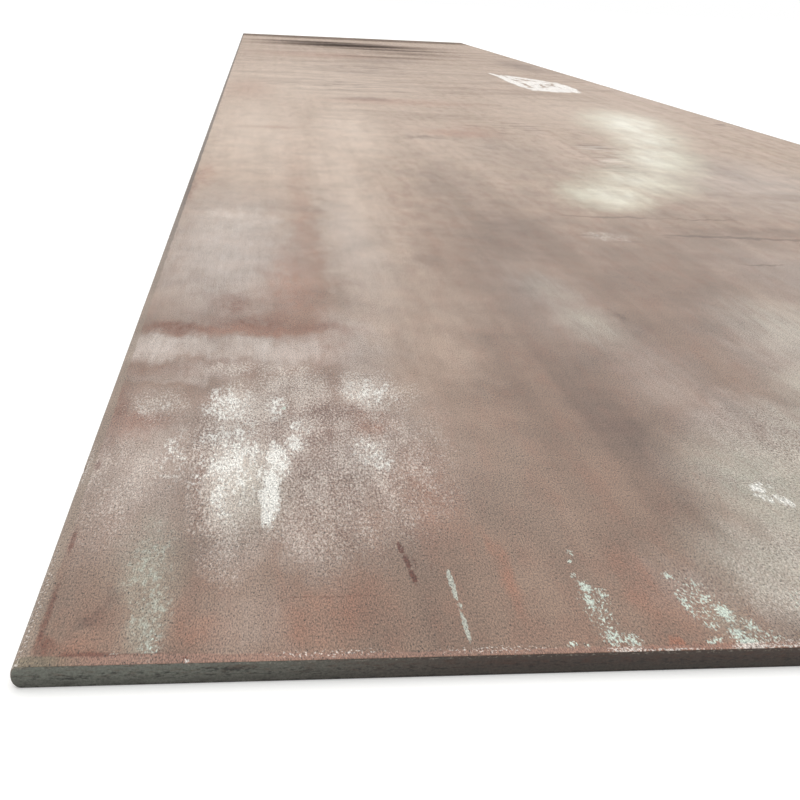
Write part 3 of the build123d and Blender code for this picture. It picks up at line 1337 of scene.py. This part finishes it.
@dataclass(frozen=True)
class LightCard:
    """A lit card that stands off to one side and glances off the plate."""

    name: str
    heading: float  # degrees to the right of the rolling direction, from the camera
    height: float  # degrees above the horizon
    wide: float  # degrees
    tall: float
    radiance: float
    distance: float = 24.0

    def build(self, eye: Vector) -> bpy.types.Object:
        """Make the card.

        Args:
            eye: where the camera stands.

        Returns:
            The light.
        """
        way = aimed(self.heading, self.height)
        data = bpy.data.lights.new(self.name, "AREA")
        data.shape = "RECTANGLE"
        data.size = 2 * self.distance * math.tan(math.radians(self.wide / 2))
        data.size_y = 2 * self.distance * math.tan(math.radians(self.tall / 2))
        data.energy = self.radiance * math.pi * data.size * data.size_y
        lamp = placed(self.name, data)
        lamp.location = eye + way * self.distance
        lamp.rotation_mode = "QUATERNION"
        lamp.rotation_quaternion = way.to_track_quat("Z", "Y")
        lamp.visible_camera = False
        return lamp


@dataclass
class Studio:
    """A pale floor in a bright room, one broad lamp overhead and cards that glance off the plate."""

    room: float = 0.55  # how much the room gives to a matte surface
    overhead: float = 0.5  # how much the lamp gives to a level matte surface
    overhead_spread: float = 70.0  # degrees
    overhead_tilt: Pair = (-12.0, -8.0)
    floor_grey: str = "#f1f1ef"
    floor_lift: float = 0.25
    floor_side: float = 90.0  # metres
    floor_gap: float = 0.0005  # how far it lies under the plate, in metres, so that the two don't touch
    cards: tuple[LightCard, ...] = (
        LightCard("tall_card", 18.6, 9.0, 3.0, 7.0, 2.7),
        LightCard("side_card", 29.0, 24.0, 6.0, 14.0, 1.5),
    )

    def build(self, eye: Vector) -> None:
        """Make the room, the lamps and the floor.

        Args:
            eye: where the camera stands.
        """
        self.light_room()
        data = bpy.data.lights.new("overhead", "SUN")
        data.angle = math.radians(self.overhead_spread)
        data.energy = self.overhead * math.pi
        placed("overhead", data).rotation_euler = (*map(math.radians, self.overhead_tilt), 0.0)
        for card in self.cards:
            card.build(eye)
        self.lay_floor()
        bpy.context.scene.view_settings.view_transform = "Standard"

    def light_room(self) -> None:
        """Light the room: white to the eye and in reflections, softer on matte surfaces."""
        sheet = Sheet(bpy.data.worlds.new("room"))
        bpy.context.scene.world = sheet.owner
        sheet.owner.cycles.sampling_method = "NONE"
        rays = ("Is Camera Ray", "Is Glossy Ray", "Is Transmission Ray")
        camera, glossy, through = (sheet.add("LightPath", out=ray) for ray in rays)
        seen = sheet.add("Math", {0: camera, 1: glossy}, operation="MAXIMUM")
        seen = sheet.add("Math", {0: seen, 1: through}, operation="MAXIMUM")
        strength = sheet.add("MapRange", {"Value": seen, "To Min": self.room})
        glow = sheet.add("Background", {"Color": (1.0, 1.0, 1.0, 1.0), "Strength": strength})
        sheet.add("OutputWorld", {"Surface": glow})

    def lay_floor(self) -> None:
        """Lay a pale floor that shows white to the camera but keeps the plate's shadow."""
        sheet = Sheet(bpy.data.materials.new("pale_floor"))
        matte = sheet.add("BsdfDiffuse", {"Color": linear(self.floor_grey)})
        seen = sheet.add("LightPath", out="Is Camera Ray")
        lift = sheet.add("Math", {0: seen, 1: self.floor_lift}, operation="MULTIPLY")
        glow = sheet.add("Emission", {"Strength": lift})
        both = sheet.add("AddShader", {0: matte, 1: glow})
        sheet.add("OutputMaterial", {"Surface": both})
        half = self.floor_side / 2
        mesh = bpy.data.meshes.new("floor")
        corners = [(-half, -half, 0.0), (half, -half, 0.0), (half, half, 0.0), (-half, half, 0.0)]
        mesh.from_pydata(corners, [], [(0, 1, 2, 3)])
        mesh.materials.append(sheet.owner)
        floor = placed("floor", mesh)
        floor.location.z = -self.floor_gap
        floor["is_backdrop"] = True


def write_sizes() -> None:
    """Set the CAD model's box and the visual model's box side by side, without writing them anywhere."""
    boxes = {"cad": CAD_BOX, "visual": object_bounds()}
    plain = {name: [list(low), list(high)] for name, (low, high) in boxes.items()}


def main() -> None:
    """Build the camera, the studio and the plate, and dress the plate."""
    logging.basicConfig(level=logging.INFO, format="%(name)s: %(message)s")
    camera = PhotoCamera().build()
    Studio().build(camera.location)
    low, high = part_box(NODE)
    size = (high - low) / MM
    plate = Plate(*size).build()
    finishes = {
        Skin.TOP: MillScale(),
        Skin.CUT: ShearedSteel(),
        Skin.ROLLED: RolledEdge(),
        Skin.UNDERSIDE: Underside(),
    }
    for skin in Skin:
        plate.data.materials.append(finishes[skin].dress((low, high)))
    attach(plate, "root")
    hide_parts(NODE)
    log.info("%s: %d faces", plate.name, len(plate.data.polygons))
    write_sizes()


if __name__ == "__main__":
    main()
